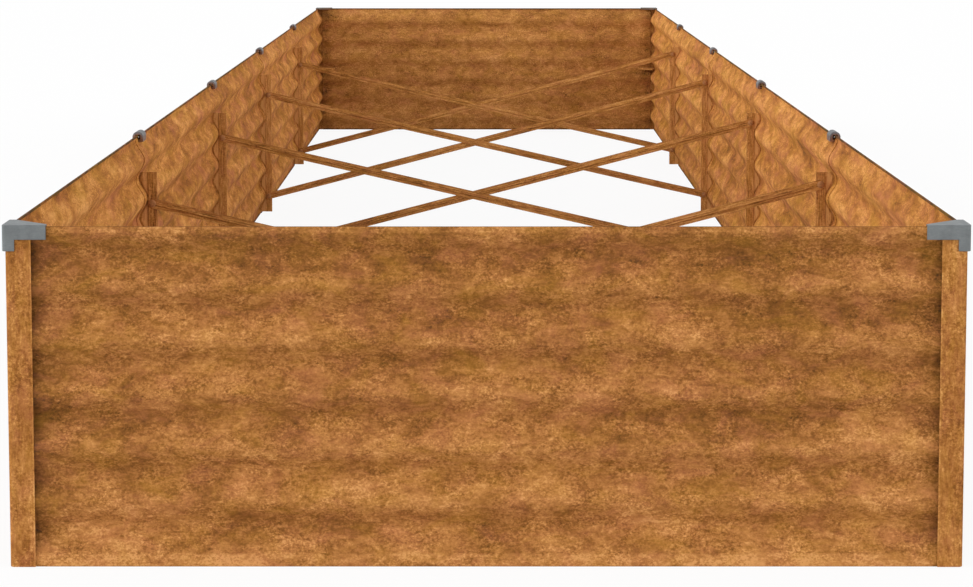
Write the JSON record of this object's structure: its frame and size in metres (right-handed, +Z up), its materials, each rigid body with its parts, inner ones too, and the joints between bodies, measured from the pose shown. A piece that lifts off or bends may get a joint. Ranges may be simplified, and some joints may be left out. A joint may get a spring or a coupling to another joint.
{
  "type": "raised garden bed",
  "caption": "Long open-bottomed garden bed of corrugated weathering-steel panels, with corner posts, grey plastic corner caps and rim clips, inner uprights and crossed braces.",
  "frame": {"origin": "on the ground, at the middle of the bed", "axes": "+Y along the length, away from the pictured end; +X to the right seen from that end; +Z up"},
  "size_m": [1.0084, 5.075, 0.365],
  "materials": {
    "weathered_steel": "matt rust-brown weathering steel, mottled",
    "weathered_frame": "matt dark rust-brown weathering steel",
    "cap_plastic": "satin grey moulded plastic",
    "bolts": "matt brown coated steel"
  },
  "bodies": {
    "root": {"left_panel_1": "weathered_steel", "left_panel_2": "weathered_steel", "left_panel_3": "weathered_steel", "left_panel_4": "weathered_steel", "left_panel_5": "weathered_steel", "right_panel_1": "weathered_steel", "right_panel_2": "weathered_steel", "right_panel_3": "weathered_steel", "right_panel_4": "weathered_steel", "right_panel_5": "weathered_steel", "front_panel": "weathered_steel", "back_panel": "weathered_steel", "corner_post_front_left": "weathered_steel", "corner_cap_front_left": "cap_plastic", "corner_post_back_left": "weathered_steel", "corner_cap_back_left": "cap_plastic", "corner_post_front_right": "weathered_steel", "corner_cap_front_right": "cap_plastic", "corner_post_back_right": "weathered_steel", "corner_cap_back_right": "cap_plastic", "upright_left_1": "weathered_frame", "rim_clip_left_1": "cap_plastic", "brace_bolt_left_1_upper": "bolts", "brace_bolt_left_1_lower": "bolts", "upright_left_2": "weathered_frame", "rim_clip_left_2": "cap_plastic", "brace_bolt_left_2_upper": "bolts", "brace_bolt_left_2_lower": "bolts", "upright_left_3": "weathered_frame", "rim_clip_left_3": "cap_plastic", "brace_bolt_left_3_upper": "bolts", "brace_bolt_left_3_lower": "bolts", "upright_left_4": "weathered_frame", "rim_clip_left_4": "cap_plastic", "brace_bolt_left_4_upper": "bolts", "brace_bolt_left_4_lower": "bolts", "upright_right_1": "weathered_frame", "rim_clip_right_1": "cap_plastic", "brace_bolt_right_1_upper": "bolts", "brace_bolt_right_1_lower": "bolts", "upright_right_2": "weathered_frame", "rim_clip_right_2": "cap_plastic", "brace_bolt_right_2_upper": "bolts", "brace_bolt_right_2_lower": "bolts", "upright_right_3": "weathered_frame", "rim_clip_right_3": "cap_plastic", "brace_bolt_right_3_upper": "bolts", "brace_bolt_right_3_lower": "bolts", "upright_right_4": "weathered_frame", "rim_clip_right_4": "cap_plastic", "brace_bolt_right_4_upper": "bolts", "brace_bolt_right_4_lower": "bolts", "brace_rear_1": "weathered_frame", "brace_front_1": "weathered_frame", "brace_rear_2": "weathered_frame", "brace_front_2": "weathered_frame", "brace_rear_3": "weathered_frame", "brace_front_3": "weathered_frame", "brace_rear_4": "weathered_frame", "brace_front_4": "weathered_frame"}
  },
  "joints": []
}
